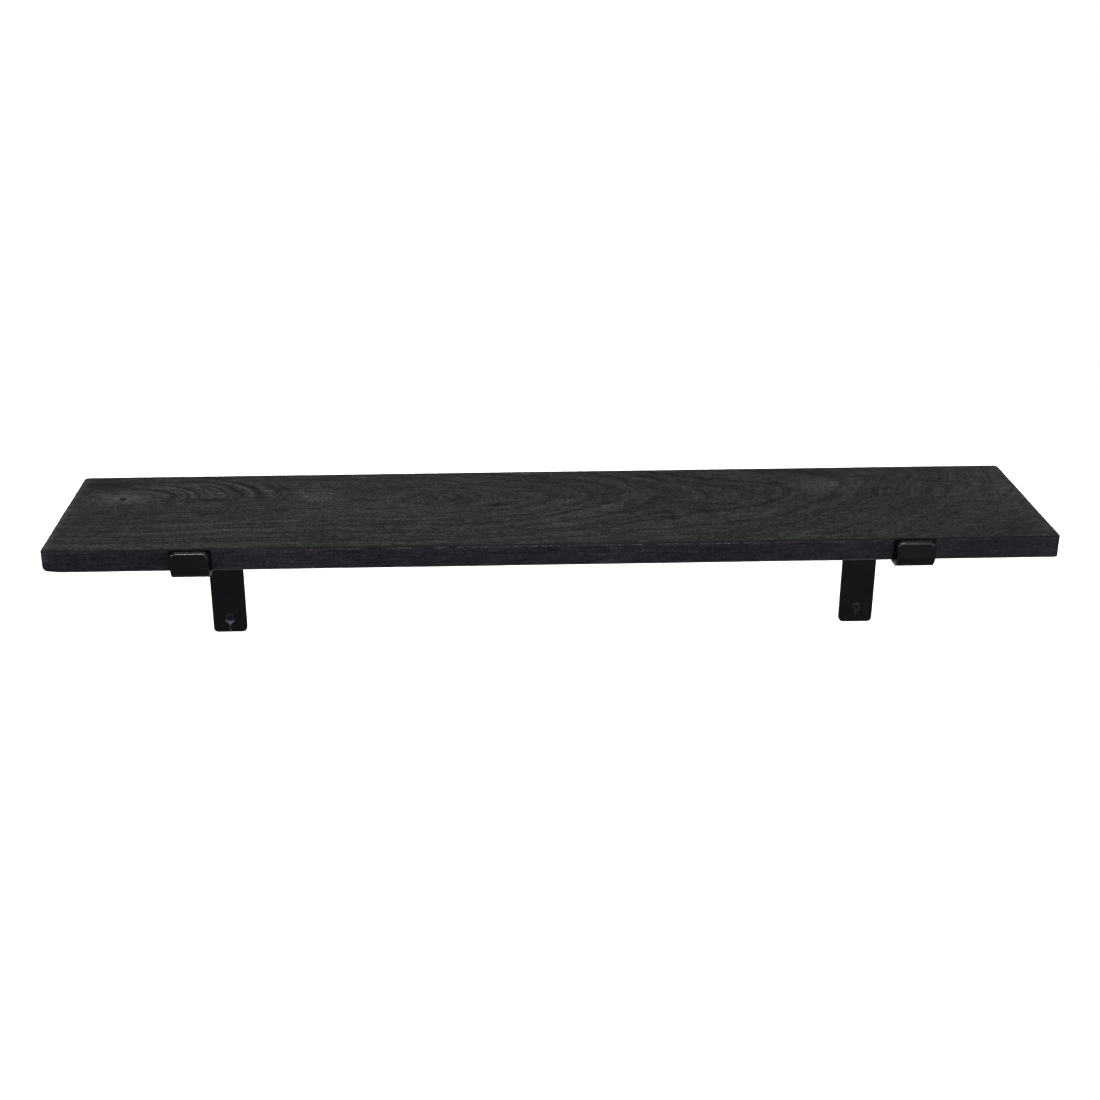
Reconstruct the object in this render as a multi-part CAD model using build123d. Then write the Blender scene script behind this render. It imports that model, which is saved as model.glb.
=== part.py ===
from build123d import *
import os
from math import cos, radians, tan

# Wall shelf: one wooden board on two identical brackets of bent flat bar. Millimetres.
# +X runs along the shelf, +Y points into the wall, +Z is up. The wall's surface is the plane y = 0.
# The origin is the centre of the pattern of four wall screws, on the wall's surface.

# The board
BOARD_LENGTH = 800.0
BOARD_DEPTH = 170.0
BOARD_THICKNESS = 18.0
BOARD_CORNER_RADIUS = 4.0  # the four upright corners
BOARD_ARRIS_RADIUS = 1.5  # the long edges, softened by sanding

# The flat bar that both brackets are bent from
BAR_WIDTH = 30.0
BAR_THICKNESS = 5.0
BEND_INNER_RADIUS = 5.0
BAR_ARRIS_RADIUS = 0.6  # what deburring and powder coating leave

# The bracket: a leg down the wall, an arm under the board and a lip in front of it
BRACKET_SPACING = 568.0  # between the middles of the two brackets
LEG_DROP = 130.0  # from the board's underside down to the leg's end
LEG_END_RADIUS = 4.0  # its two corners
LIP_END_RADIUS = 5.0
LIP_BELOW_TOP = 0.3  # the lip ends this far below the board's top
FRONT_GAP = 3.5  # between the board and the lip, because the front bend's inner radius is in the way

# The holes in the bracket
WALL_HOLE_RADIUS = 2.5
WALL_HOLE_SPACING = 85.0
LOWER_HOLE_ABOVE_END = 15.0
BOARD_HOLE_RADIUS = 2.0
REAR_BOARD_SCREW_DEPTH = 40.0  # from the wall
FRONT_BOARD_SCREW_DEPTH = 130.0

# The screws: a countersunk head with a cross recess, a plain neck, then the thread and its point.
# The thread is a plain cylinder of its outer diameter.
HEAD_CONE_ANGLE = 90.0
HEAD_RIM = 0.25
HEAD_BELOW_FLUSH = 0.25
NECK_PAST_BAR = 0.3  # the thread starts this far behind the bar
POINT_ANGLE = 50.0
WALL_SCREW_LENGTH = 45.0
WALL_SCREW_HEAD_RADIUS = 4.0
WALL_SCREW_NECK_RADIUS = 1.5
WALL_SCREW_THREAD_RADIUS = 2.0
BOARD_SCREW_LENGTH = 16.0
BOARD_SCREW_HEAD_RADIUS = 3.5
BOARD_SCREW_NECK_RADIUS = 1.3
BOARD_SCREW_THREAD_RADIUS = 1.75
RECESS_SPAN_SHARE = 0.58  # of the head's diameter, from tip to tip of two wings
RECESS_SLOT_SHARE = 0.13  # of the head's diameter, the width of a wing
RECESS_DEPTH_SHARE = 0.55  # of the head's radius
RECESS_SLOPE = 26.0  # of the wings' outer ends, from the screw's axis, in degrees
RECESS_TURN = 11.0  # each screw was tightened this much further round than the one before, in degrees

# Heights
LEG_END_Z = -WALL_HOLE_SPACING / 2 - LOWER_HOLE_ABOVE_END
BOARD_UNDERSIDE_Z = LEG_END_Z + LEG_DROP
ARM_UNDERSIDE_Z = BOARD_UNDERSIDE_Z - BAR_THICKNESS
LIP_TOP_Z = BOARD_UNDERSIDE_Z + BOARD_THICKNESS - LIP_BELOW_TOP

# Places
BRACKET_X = {"left": -BRACKET_SPACING / 2, "right": BRACKET_SPACING / 2}
WALL_SCREW_Z = {"upper": WALL_HOLE_SPACING / 2, "lower": -WALL_HOLE_SPACING / 2}
BOARD_SCREW_Y = {"rear": -REAR_BOARD_SCREW_DEPTH, "front": -FRONT_BOARD_SCREW_DEPTH}

TOP_DOWN = (Align.CENTER, Align.CENTER, Align.MAX)
SHARP_BEND = 45.0  # two faces that meet at more degrees than this make an edge to round
LENGTH_TOLERANCE = 0.05


def sharp_edges(solid):
    """The edges where two faces meet at an angle, without the seams between tangent faces."""
    faces_at = {}
    smallest_cosine = cos(radians(SHARP_BEND))
    for face in solid.faces():
        for edge in face.edges():
            faces_at.setdefault(edge, []).append(face)
    sharp = []
    for edge, faces in faces_at.items():
        middle = edge @ 0.5
        if len(faces) == 2 and faces[0].normal_at(middle).dot(faces[1].normal_at(middle)) < smallest_cosine:
            sharp.append(edge)
    return sharp


def facing_front(x, y, z):
    """A place on the leg's front face, looking away from the wall."""
    return Plane(origin=(x, y, z), x_dir=(1, 0, 0), z_dir=(0, -1, 0)).location


def facing_down(x, y, z):
    """A place on the arm's underside, looking at the floor."""
    return Plane(origin=(x, y, z), x_dir=(1, 0, 0), z_dir=(0, 0, -1)).location


def sink_depth(wide_radius, narrow_radius):
    """The height of a cone of the screw heads' angle between two radii."""
    return (wide_radius - narrow_radius) / tan(radians(HEAD_CONE_ANGLE / 2))


def countersunk_hole(hole_radius, head_radius):
    """What is cut from the bar for one screw, down from z = 0."""
    mouth_radius = head_radius + HEAD_RIM + HEAD_BELOW_FLUSH
    hole = Cylinder(hole_radius, BAR_THICKNESS, align=TOP_DOWN)
    sink = Cone(hole_radius, mouth_radius, sink_depth(mouth_radius, hole_radius), align=TOP_DOWN)
    return hole + sink


def cross_recess(head_radius):
    """What the driver fits in: four wings that slope in towards the bottom, down from z = 0."""
    span = 2 * head_radius * RECESS_SPAN_SHARE
    slot = 2 * head_radius * RECESS_SLOT_SHARE
    depth = head_radius * RECESS_DEPTH_SHARE
    wings = Box(span, slot, depth, align=TOP_DOWN) + Box(slot, span, depth, align=TOP_DOWN)
    bottom_radius = span / 2 - depth * tan(radians(RECESS_SLOPE))
    return wings & Cone(bottom_radius, span / 2, depth, align=TOP_DOWN)


def screw(head_radius, neck_radius, thread_radius, length):
    """A screw that points down, with the top of its head at z = 0."""
    cone_end = HEAD_RIM + sink_depth(head_radius, neck_radius)
    thread_start = BAR_THICKNESS - HEAD_BELOW_FLUSH + NECK_PAST_BAR
    point_start = length - thread_radius / tan(radians(POINT_ANGLE / 2))
    half_outline = Polyline(
        (0, 0),
        (head_radius, 0),
        (head_radius, -HEAD_RIM),
        (neck_radius, -cone_end),
        (neck_radius, -thread_start),
        (thread_radius, -thread_start),
        (thread_radius, -point_start),
        (0, -length),
        close=True,
    )
    return revolve(Plane.XZ * make_face(half_outline), Axis.Z) - cross_recess(head_radius)


def corners_across(bar):
    """The straight edges that cross the bar's thickness at its ends."""
    longest = BAR_THICKNESS + LENGTH_TOLERANCE
    return bar.edges().filter_by(Axis.Y).filter_by(lambda edge: edge.length < longest)


def bent_bar():
    """The bar of one bracket without its holes, centred on x = 0."""
    half = BAR_THICKNESS / 2
    arm_middle_z = BOARD_UNDERSIDE_Z - half
    lip_middle_y = -(BOARD_DEPTH + FRONT_GAP + half)
    middle_line = FilletPolyline(
        (-half, LEG_END_Z),
        (-half, arm_middle_z),
        (lip_middle_y, arm_middle_z),
        (lip_middle_y, LIP_TOP_Z),
        radius=BEND_INNER_RADIUS + half,
    )
    bar = extrude(Plane.YZ * trace(middle_line, BAR_THICKNESS), BAR_WIDTH / 2, both=True)
    bar = fillet(corners_across(bar).sort_by(Axis.Z)[:2], LEG_END_RADIUS)
    bar = fillet(corners_across(bar).sort_by(Axis.Z)[-2:], LIP_END_RADIUS)
    return fillet(sharp_edges(bar), BAR_ARRIS_RADIUS)


def bracket(x):
    """One bracket, with its holes, with its middle at x."""
    bar = Pos(x, 0, 0) * bent_bar()
    for z in WALL_SCREW_Z.values():
        bar -= facing_front(x, -BAR_THICKNESS, z) * countersunk_hole(WALL_HOLE_RADIUS, WALL_SCREW_HEAD_RADIUS)
    for y in BOARD_SCREW_Y.values():
        bar -= facing_down(x, y, ARM_UNDERSIDE_Z) * countersunk_hole(BOARD_HOLE_RADIUS, BOARD_SCREW_HEAD_RADIUS)
    return bar


def wall_screw(x, z, turn):
    """A screw through a leg into the wall."""
    blank = Rot(0, 0, turn) * screw(
        WALL_SCREW_HEAD_RADIUS,
        WALL_SCREW_NECK_RADIUS,
        WALL_SCREW_THREAD_RADIUS,
        WALL_SCREW_LENGTH,
    )
    return facing_front(x, -BAR_THICKNESS + HEAD_BELOW_FLUSH, z) * blank


def board_screw(x, y, turn):
    """A screw up through an arm into the board."""
    blank = Rot(0, 0, turn) * screw(
        BOARD_SCREW_HEAD_RADIUS,
        BOARD_SCREW_NECK_RADIUS,
        BOARD_SCREW_THREAD_RADIUS,
        BOARD_SCREW_LENGTH,
    )
    return facing_down(x, y, ARM_UNDERSIDE_Z + HEAD_BELOW_FLUSH) * blank


def board(screws):
    """The board, with the holes that its screws cut."""
    slab = Pos(0, -BOARD_DEPTH / 2, BOARD_UNDERSIDE_Z + BOARD_THICKNESS / 2) * Box(
        BOARD_LENGTH, BOARD_DEPTH, BOARD_THICKNESS
    )
    slab = fillet(slab.edges().filter_by(Axis.Z), BOARD_CORNER_RADIUS)
    slab = fillet(sharp_edges(slab), BOARD_ARRIS_RADIUS)
    for one in screws:
        slab -= one
    return slab


wall_screws = {}
board_screws = {}
for side, x in BRACKET_X.items():
    for level, z in WALL_SCREW_Z.items():
        turn = RECESS_TURN * len(wall_screws)
        wall_screws[f"{side}_{level}_wall_screw"] = wall_screw(x, z, turn)
    for place, y in BOARD_SCREW_Y.items():
        turn = RECESS_TURN * len(board_screws)
        board_screws[f"{side}_{place}_board_screw"] = board_screw(x, y, turn)

brackets = {f"{side}_bracket": bracket(x) for side, x in BRACKET_X.items()}
nodes = {"shelf_board": board(board_screws.values()), **brackets, **wall_screws, **board_screws}

os.makedirs("parts", exist_ok=True)
for name, solid in nodes.items():
    solid.label = name
    export_step(solid, f"parts/{name}.step")
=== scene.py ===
from math import cos, pi, radians, sin, tan

import bmesh
import bpy
import numpy as np
from mathutils import Matrix, Vector, noise


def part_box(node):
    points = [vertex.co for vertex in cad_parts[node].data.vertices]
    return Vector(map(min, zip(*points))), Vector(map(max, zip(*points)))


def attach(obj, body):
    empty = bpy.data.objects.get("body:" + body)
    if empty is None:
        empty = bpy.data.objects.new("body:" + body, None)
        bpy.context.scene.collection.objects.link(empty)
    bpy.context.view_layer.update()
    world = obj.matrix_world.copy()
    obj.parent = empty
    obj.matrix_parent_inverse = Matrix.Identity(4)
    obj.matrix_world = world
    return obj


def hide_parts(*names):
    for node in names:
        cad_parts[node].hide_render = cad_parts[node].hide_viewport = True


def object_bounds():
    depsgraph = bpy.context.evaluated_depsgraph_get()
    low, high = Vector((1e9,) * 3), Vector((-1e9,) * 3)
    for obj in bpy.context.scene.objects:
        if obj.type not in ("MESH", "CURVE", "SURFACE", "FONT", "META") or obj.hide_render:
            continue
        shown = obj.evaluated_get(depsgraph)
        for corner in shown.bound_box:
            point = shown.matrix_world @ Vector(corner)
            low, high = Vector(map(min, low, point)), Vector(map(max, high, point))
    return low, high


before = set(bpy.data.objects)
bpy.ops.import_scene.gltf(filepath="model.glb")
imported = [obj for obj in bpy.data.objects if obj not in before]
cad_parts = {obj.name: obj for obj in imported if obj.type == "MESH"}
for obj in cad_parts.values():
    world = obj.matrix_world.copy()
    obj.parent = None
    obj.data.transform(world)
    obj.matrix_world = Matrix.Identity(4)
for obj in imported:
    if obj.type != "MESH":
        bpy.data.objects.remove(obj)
cad_low, cad_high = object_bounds()

# Wall shelf: a black stained board on two brackets of bent flat bar, with eight screws.
# Metres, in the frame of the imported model: +X along the shelf, +Y into the wall, +Z up.
MM = 0.001
SIDES = ("left", "right")
LEVELS = ("upper", "lower")
PLACES = ("rear", "front")

# The board
BOARD_CORNER_RADIUS = 4.0 * MM
BOARD_ARRIS_RADIUS = 0.8 * MM
WORN_CORNER_RADIUS = 4.5 * MM  # the left end's lower front corner is rubbed round
WORN_CORNER_REACH = 16.0 * MM
ARRIS_WAVE = 35 * MM  # the arris radius wanders in waves of about this length
ARRIS_WANDER = 0.25  # by this share of it
BOARD_MARGINS = MM * np.array([0, 0.2, 0.5, 0.9, 1.4, 2.1, 3.0, 4.2])  # of the mesh lines beside its edges
BOARD_SPACING_ALONG = 2.9 * MM
BOARD_SPACING_ACROSS = 1.9 * MM
BOARD_SPACING_DOWN = 2.0 * MM
WAVE_LENGTH = 40 * MM  # of the low waves that planing and drying left, across the board
WAVE_STRETCH = 2.0  # they are this many times longer along it
WAVE_HEIGHT = 0.18 * MM
DENT_SIZE = 6 * MM  # of the dents in the top's front edge
DENT_DEPTH = 0.35 * MM
DENT_REACH = 2.2 * MM
DENT_RARITY = 0.25
KNOT_ALONG = 43.0 * MM  # from the left end
KNOT_FROM_BACK = 54.0 * MM
KNOT_RADIUS = 2.9 * MM
KNOT_DEPTH = 5.0 * MM
KNOT_STRETCH = 1.25  # across the board
KNOT_RAGGEDNESS = 0.25
KNOT_WAVE = 3 * MM
KNOT_LINES = MM * np.arange(-4.5, 4.6, 0.5)  # of the finer mesh about the knot
BOARD_SMOOTH_ANGLE = 60.0

# The brackets
BAR_THICKNESS = 5.0 * MM
BAR_ARRIS_RADIUS = 0.6 * MM
BEND_RADIUS = 7.5 * MM  # of the bar's middle line
LEG_END_RADIUS = 4.0 * MM
LIP_END_RADIUS = 5.0 * MM
LIP_ARRIS_RADIUS = 1.3 * MM  # filed rounder than the rest
BAR_MARGINS = MM * np.array([0, 0.08, 0.2, 0.38, 0.6, 0.95, 1.3, 2.0, 3.0, 4.0, 5.0])
BAR_MARGINS_DOWN = BAR_MARGINS[:7]
BAR_SPACING_ALONG = 1.5 * MM
BAR_SPACING_ACROSS = 1.6 * MM
BAR_LAYERS = 4
RUN_WIDTH = 1.2 * MM  # of the run of coating from the lower hole to the leg's end
RUN_HEIGHT = 0.25 * MM
# Where the countersink slipped at the lower hole: sideways and up, and how much smaller the mouth is
SINK_SLIPS = {
    "left": [(0.0, -1.5 * MM, 0.3 * MM), (0.0, -2.7 * MM, 0.9 * MM), (0.1 * MM, -3.9 * MM, 1.9 * MM)],
    "right": [(0.7 * MM, -0.9 * MM, 0.1 * MM)],
}

# The holes and the screws
HOLE_RADIUS = {"wall": 2.5 * MM, "board": 2.0 * MM}
NECK_RADIUS = {"wall": 1.5 * MM, "board": 1.3 * MM}
THREAD_RADIUS = {"wall": 2.0 * MM, "board": 1.75 * MM}
THREAD_PITCH = {"wall": 1.8 * MM, "board": 1.5 * MM}
HEAD_RIM = 0.25 * MM
HEAD_BELOW_FLUSH = 0.25 * MM
HEAD_EDGE_BREAK = 0.18 * MM
NECK_PAST_BAR = 0.3 * MM
SCREW_SIDES = 32
SCREW_ANGLES = np.arange(SCREW_SIDES) * 2 * pi / SCREW_SIDES
RINGS_PER_TURN = 8
RIDGE_SHARE = 0.3  # of the pitch, half a ridge's width
POINT_SHARE = 3.2  # of the thread's radius, how long the point is
POINT_POWER = 0.8  # under 1, the point is a little fuller than a cone
RECESS_SPAN_SHARE = 0.58  # of the head's radius, how far a wing reaches
RECESS_SLOT_SHARE = 0.13  # of the head's radius, half a wing's width
RECESS_DEPTH_SHARE = 0.55  # of the head's radius
RECESS_SLOPE = 26.0  # of the wings' outer ends, from the screw's axis, in degrees
RECESS_TURN = 11.0  # each screw was tightened this much further than the one before, in degrees

# Cutting
CUTTER_SIDES = 64
CUTTER_CLEARANCE = 1.0 * MM  # how far a cutter stands out of what it cuts
WELD = 0.003 * MM
MOST_CORNERS = 4  # a face with more is split into triangles


# ---------------- meshes


def mesh_object(name, points, faces):
    """A new object with this mesh."""
    mesh = bpy.data.meshes.new(name)
    mesh.from_pydata([tuple(p) for p in points], [], [tuple(f) for f in faces])
    mesh.validate()
    mesh.update()
    made = bpy.data.objects.new(name, mesh)
    bpy.context.scene.collection.objects.link(made)
    return made


def smooth(piece, angle=35.0):
    """Shades a piece smooth, with edges sharper than the angle left sharp."""
    piece.data.polygons.foreach_set("use_smooth", [True] * len(piece.data.polygons))
    piece.data.set_sharp_from_angle(angle=radians(angle))


def cut_lines(low, high, margins, spacing, extra=()):
    """Where a box is cut along one axis: close together by its two ends, evenly between them."""
    first = low + margins[-1]
    last = high - margins[-1]
    count = max(1, round((last - first) / spacing))
    middle = np.linspace(first, last, count + 1)[1:-1]
    ends = np.array(margins)
    return np.unique(np.round(np.concatenate([low + ends, middle, high - ends, extra]), 6))


def box_grid(xs, ys, zs):
    """The points and quads of a closed box that is cut along these lines."""
    index = {}
    points = []

    def corner(*place):
        if place not in index:
            index[place] = len(points)
            points.append([line[i] for line, i in zip((xs, ys, zs), place)])
        return index[place]

    last = (len(xs) - 1, len(ys) - 1, len(zs) - 1)
    faces = []
    for axis in range(3):
        a, b = (axis + 1) % 3, (axis + 2) % 3
        for end in (0, last[axis]):
            for i in range(last[a]):
                for j in range(last[b]):
                    ring = []
                    for step_a, step_b in ((0, 0), (1, 0), (1, 1), (0, 1)):
                        place = [0, 0, 0]
                        place[axis] = end
                        place[a] = i + step_a
                        place[b] = j + step_b
                        ring.append(corner(*place))
                    faces.append(ring if end else ring[::-1])
    return np.array(points), faces


def round_slab(points, low, high, corner_radius, arris_radius):
    """Rounds a slab's four upright corners, then the edges of its two faces. Returns points and normals.

    Both radii are one number for each point."""
    middle = (low + high) / 2
    half = (high - low) / 2
    offset = np.abs(points - middle)
    sign = np.where(points >= middle, 1.0, -1.0)
    inset = (half - offset)[:, :2].min(axis=1)
    depth = (half - offset)[:, 2]

    past = offset[:, :2] - half[:2] + corner_radius[:, None]
    in_corner = (past > 0).all(axis=1)
    reach = np.where(in_corner, np.hypot(past[:, 0], past[:, 1]), 1.0)
    shrink = np.where(in_corner, past.max(axis=1) / reach, 1.0)
    nearest = (half - offset)[:, :2].argmin(axis=1)
    outward = np.where(in_corner[:, None], past / reach[:, None], np.eye(2)[nearest])
    plan = np.where(in_corner[:, None], offset[:, :2] + past * (shrink[:, None] - 1), offset[:, :2])

    out = np.clip(arris_radius - inset, 0, None)
    up = np.clip(arris_radius - depth, 0, None)
    both = (out > 0) & (up > 0)
    length = np.where(both, np.hypot(out, up), 1.0)
    scale = np.where(both, arris_radius / length, 1.0)
    plan = plan + outward * (out * (scale - 1))[:, None]
    height = offset[:, 2] + up * (scale - 1)

    on_face = depth < inset
    normal_out = np.where(both, out / length, np.where(on_face, 0.0, 1.0))
    normal_up = np.where(both, up / length, np.where(on_face, 1.0, 0.0))
    moved = middle + sign * np.column_stack([plan, height])
    normals = sign * np.column_stack([outward * normal_out[:, None], normal_up])
    return moved, normals


def waves(points, size, seed):
    """Smooth noise from -1 to 1 at each point, with waves about this long."""
    shift = Vector((seed * 7.3, seed * 3.1, seed * 5.7))
    return np.array([noise.noise(Vector(p) / size + shift) for p in points])


def bump_at(distance, radius):
    """1 in the middle, falling smoothly to 0 at the radius."""
    share = np.clip(1 - distance / radius, 0, 1)
    return share * share * (3 - 2 * share)


def lathe(profile, sides):
    """The points and faces of a closed shape turned about Z. The profile runs from the axis to the axis."""
    angles = np.arange(sides) * 2 * pi / sides
    points = [(0, 0, profile[0][1])]
    for radius, z in profile[1:-1]:
        points += [(radius * cos(a), radius * sin(a), z) for a in angles]
    points.append((0, 0, profile[-1][1]))
    return points, turned_faces(len(profile) - 2, sides)


def turned_faces(rings, sides):
    """Faces for a first point, rings of points, and a last point, with the rings going down."""
    following = [(i + 1) % sides for i in range(sides)]
    faces = [(0, 1 + i, 1 + following[i]) for i in range(sides)]
    for ring in range(rings - 1):
        here = 1 + ring * sides
        below = here + sides
        faces += [(here + i, below + i, below + following[i], here + following[i]) for i in range(sides)]
    here = 1 + (rings - 1) * sides
    last = 1 + rings * sides
    faces += [(here + i, last, here + following[i]) for i in range(sides)]
    return faces


def cut(piece, cutters):
    """Takes the cutters out of the piece, for good."""
    for cutter in cutters:
        modifier = piece.modifiers.new("cut", "BOOLEAN")
        modifier.operation = "DIFFERENCE"
        modifier.solver = "EXACT"
        modifier.object = cutter
    evaluated = piece.evaluated_get(bpy.context.evaluated_depsgraph_get())
    carved = bpy.data.meshes.new_from_object(evaluated)
    piece.modifiers.clear()
    piece.data = carved
    heal(carved)
    for cutter in cutters:
        bpy.data.objects.remove(cutter)


def heal(mesh):
    """Joins the points that a cut left almost in one place, and closes the slits beside them."""
    work = bmesh.new()
    work.from_mesh(mesh)
    bmesh.ops.remove_doubles(work, verts=work.verts, dist=WELD)
    bmesh.ops.dissolve_degenerate(work, edges=work.edges, dist=WELD)
    bmesh.ops.holes_fill(work, edges=[edge for edge in work.edges if edge.is_boundary])
    bmesh.ops.triangulate(work, faces=[face for face in work.faces if len(face.verts) > MOST_CORNERS])
    work.to_mesh(mesh)
    work.free()


# ---------------- the board


def board_piece():
    """The board, with its worn arrises, low waves, dents and knot hole."""
    low, high = (np.array(corner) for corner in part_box("shelf_board"))
    knot = np.array([low[0] + KNOT_ALONG, high[1] - KNOT_FROM_BACK])
    xs = cut_lines(low[0], high[0], BOARD_MARGINS, BOARD_SPACING_ALONG, knot[0] + KNOT_LINES)
    ys = cut_lines(low[1], high[1], BOARD_MARGINS, BOARD_SPACING_ACROSS, knot[1] + KNOT_LINES)
    zs = cut_lines(low[2], high[2], BOARD_MARGINS, BOARD_SPACING_DOWN)
    points, faces = box_grid(xs, ys, zs)

    corner_radius = np.full(len(points), BOARD_CORNER_RADIUS)
    arris_radius = BOARD_ARRIS_RADIUS * (1 + ARRIS_WANDER * waves(points, ARRIS_WAVE, seed=1))
    worn = bump_at(np.linalg.norm(points - low, axis=1), WORN_CORNER_REACH)
    arris_radius += (WORN_CORNER_RADIUS - BOARD_ARRIS_RADIUS) * worn
    points, normals = round_slab(points, low, high, corner_radius, arris_radius)

    sunk = low_waves(points) + front_dents(points, low, high) + knot_hole(points, normals, knot)
    piece = mesh_object("board", points - normals * sunk[:, None], faces)
    smooth(piece, BOARD_SMOOTH_ANGLE)
    return piece


def low_waves(points):
    """How far planing and drying sank the board's faces."""
    return WAVE_HEIGHT * (0.5 + 0.5 * waves(points / [WAVE_STRETCH, 1, 1], WAVE_LENGTH, seed=2))


def front_dents(points, low, high):
    """How deep the dents are in the top's front edge."""
    from_edge = np.hypot(points[:, 1] - low[1], points[:, 2] - high[2])
    dents = np.clip(waves(points, DENT_SIZE, seed=3) - DENT_RARITY, 0, 1)
    return DENT_DEPTH * dents * bump_at(from_edge, DENT_REACH)


def knot_hole(points, normals, knot):
    """How deep the ragged hole of the knot is, on the top alone."""
    from_knot = points[:, :2] - knot
    ragged = 1 + KNOT_RAGGEDNESS * waves(points, KNOT_WAVE, seed=4)
    hole = bump_at(np.hypot(from_knot[:, 0], from_knot[:, 1] / KNOT_STRETCH) * ragged, KNOT_RADIUS)
    on_top = normals[:, 2] > 0.5
    return np.where(on_top, KNOT_DEPTH * hole, 0)


# ---------------- the brackets


def bend(points, leg_end, leg_length, arm_length):
    """Bends the flat bar. X of a point is how far along the bar it is, Z its height above the middle line.

    The bar goes up the wall, turns out under the board, and turns up again in front of it."""
    run, across, height = points.T
    arc_length = BEND_RADIUS * pi / 2
    arm_start = leg_length + arc_length
    arm_end = arm_start + arm_length
    up = np.minimum(run, leg_length)
    first = np.clip(run - leg_length, 0, arc_length) / BEND_RADIUS
    out = np.clip(run - arm_start, 0, arm_length)
    second = np.clip(run - arm_end, 0, arc_length) / BEND_RADIUS
    lip = np.clip(run - arm_end - arc_length, 0, None)
    y = leg_end.y - BEND_RADIUS * (1 - np.cos(first)) - out - BEND_RADIUS * np.sin(second)
    z = leg_end.z + up + BEND_RADIUS * np.sin(first) + BEND_RADIUS * (1 - np.cos(second)) + lip
    heading = first - second
    y = y - height * np.cos(heading)
    z = z - height * np.sin(heading)
    return np.column_stack([leg_end.x + across, y, z])


def bracket_piece(side):
    """One bracket: a flat bar, bent twice, with four countersunk holes."""
    low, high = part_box(f"{side}_bracket")
    width = high.x - low.x
    leg_end = Vector(((low.x + high.x) / 2, -BAR_THICKNESS / 2, low.z))
    arm_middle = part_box("shelf_board")[0].z - BAR_THICKNESS / 2
    leg_length = arm_middle - BEND_RADIUS - low.z
    arm_length = high.y - low.y - BAR_THICKNESS - 2 * BEND_RADIUS
    lip_length = high.z - arm_middle - BEND_RADIUS
    length = leg_length + arm_length + lip_length + pi * BEND_RADIUS

    flat_low = np.array([0, -width / 2, -BAR_THICKNESS / 2])
    flat_high = np.array([length, width / 2, BAR_THICKNESS / 2])
    xs = cut_lines(0, length, BAR_MARGINS, BAR_SPACING_ALONG)
    ys = cut_lines(-width / 2, width / 2, BAR_MARGINS, BAR_SPACING_ACROSS)
    zs = cut_lines(-BAR_THICKNESS / 2, BAR_THICKNESS / 2, BAR_MARGINS_DOWN, BAR_THICKNESS / BAR_LAYERS)
    points, faces = box_grid(xs, ys, zs)
    corner_radius = np.where(points[:, 0] < length / 2, LEG_END_RADIUS, LIP_END_RADIUS)
    near_lip_end = bump_at(length - points[:, 0], 2 * LIP_END_RADIUS)
    arris_radius = BAR_ARRIS_RADIUS + (LIP_ARRIS_RADIUS - BAR_ARRIS_RADIUS) * near_lip_end
    points, normals = round_slab(points, flat_low, flat_high, corner_radius, arris_radius)

    points[:, 2] += coating_run(side, points, normals, low.z)
    piece = mesh_object(f"{side}_bracket_bar", bend(points, leg_end, leg_length, arm_length), faces)
    holes = [hole_cutter(side, kind, which) for kind, which in screw_names()]
    slips = [slip_cutter(side, *slip) for slip in SINK_SLIPS[side]]
    cut(piece, holes + slips)
    smooth(piece)
    return piece


def coating_run(side, points, normals, leg_end_z):
    """How far the run of coating stands out of the flat bar's front, from the lower hole to the leg's end."""
    lower_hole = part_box(f"{side}_lower_wall_screw")
    hole_run = (lower_hole[0].z + lower_hole[1].z) / 2 - leg_end_z
    run = np.exp(-((points[:, 1] / RUN_WIDTH) ** 2)) * np.clip((hole_run - points[:, 0]) / MM, 0, 1)
    front = np.clip(normals[:, 2], 0, 1)
    return RUN_HEIGHT * run * front


# ---------------- holes and screws


def screw_names():
    """The kind and the place of each screw of one bracket."""
    return [("wall", level) for level in LEVELS] + [("board", place) for place in PLACES]


def screw_frame(side, kind, which):
    """Where a screw's head top is, with +Z pointing out of the head, and its head radius and length."""
    low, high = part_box(f"{side}_{which}_{kind}_screw")
    middle = (low + high) / 2
    if kind == "wall":
        place = Matrix.Translation((middle.x, low.y, middle.z)) @ Matrix.Rotation(pi / 2, 4, "X")
        return place, (high.x - low.x) / 2, high.y - low.y
    place = Matrix.Translation((middle.x, middle.y, low.z)) @ Matrix.Rotation(pi, 4, "X")
    return place, (high.x - low.x) / 2, high.z - low.z


def hole_cutter(side, kind, which):
    """What is cut from the bar for one screw."""
    place, head_radius, _ = screw_frame(side, kind, which)
    mouth = head_radius + HEAD_RIM + HEAD_BELOW_FLUSH
    hole = HOLE_RADIUS[kind]
    top = HEAD_BELOW_FLUSH + CUTTER_CLEARANCE
    bottom = -BAR_THICKNESS - CUTTER_CLEARANCE
    profile = [
        (0, top),
        (mouth + CUTTER_CLEARANCE, top),
        (hole, HEAD_BELOW_FLUSH - (mouth - hole)),
        (hole, bottom),
        (0, bottom),
    ]
    points, faces = lathe(profile, CUTTER_SIDES)
    cutter = mesh_object("hole_cutter", points, faces)
    cutter.data.transform(place)
    return cutter


def slip_cutter(side, sideways, up, smaller):
    """One more cut of the countersink, beside the lower wall hole."""
    place, head_radius, _ = screw_frame(side, "wall", "lower")
    mouth = head_radius + HEAD_RIM + HEAD_BELOW_FLUSH - smaller
    top = HEAD_BELOW_FLUSH + CUTTER_CLEARANCE
    profile = [(0, top), (mouth + CUTTER_CLEARANCE, top), (0, HEAD_BELOW_FLUSH - mouth)]
    points, faces = lathe(profile, CUTTER_SIDES)
    cutter = mesh_object("slip_cutter", points, faces)
    cutter.data.transform(Matrix.Translation((sideways, 0, up)) @ place)
    return cutter


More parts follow.
